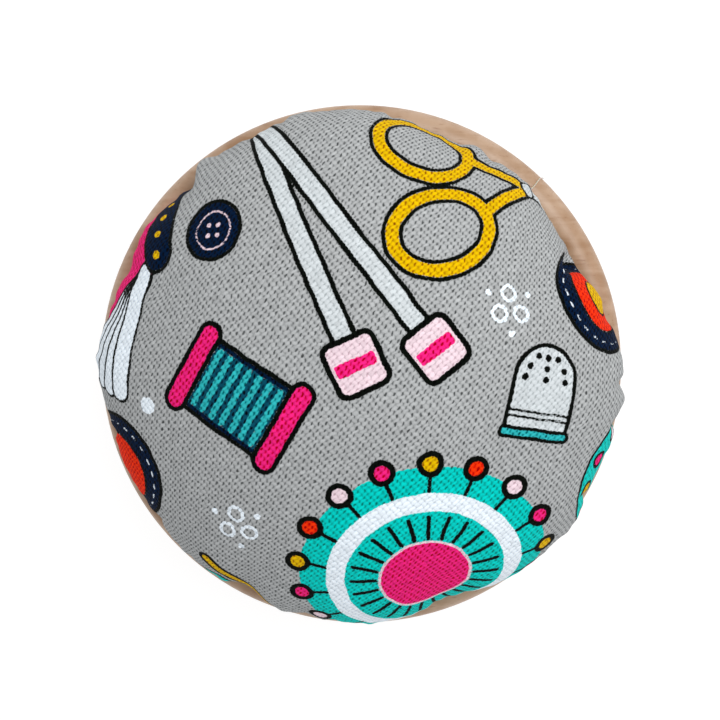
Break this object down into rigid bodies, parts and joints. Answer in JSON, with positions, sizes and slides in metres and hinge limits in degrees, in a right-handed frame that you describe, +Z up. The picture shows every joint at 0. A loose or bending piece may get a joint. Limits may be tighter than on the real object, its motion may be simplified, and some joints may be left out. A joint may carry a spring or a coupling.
{
  "type": "pin cushion",
  "caption": "Domed pin cushion: printed canvas cover stuffed firm, gathered under a card disc and glued into a shallow turned wooden dish with a felt pad underneath.",
  "frame": {"origin": "centre of the felt pad's underside, where the object rests", "axes": "+Z up through the crown of the dome; +X to the right and +Y away from the person using it, with the printed motifs upright seen from above"},
  "size_m": [0.072, 0.072, 0.0448],
  "materials": {
    "turned_wood": "satin",
    "felt": "matte",
    "hot_melt_glue": "gloss",
    "printed_canvas": "matte",
    "grey_card": "matte",
    "fibre_filling": "matte",
    "sewing_thread": "matte"
  },
  "bodies": {
    "root": {"wood_base": "turned_wood", "base_pad": "felt", "seat_glue": "hot_melt_glue", "fabric_cover": "printed_canvas", "cushion_card": "grey_card", "stuffing": "fibre_filling", "gathering_thread": "sewing_thread", "glue_strand": "hot_melt_glue"}
  },
  "joints": []
}
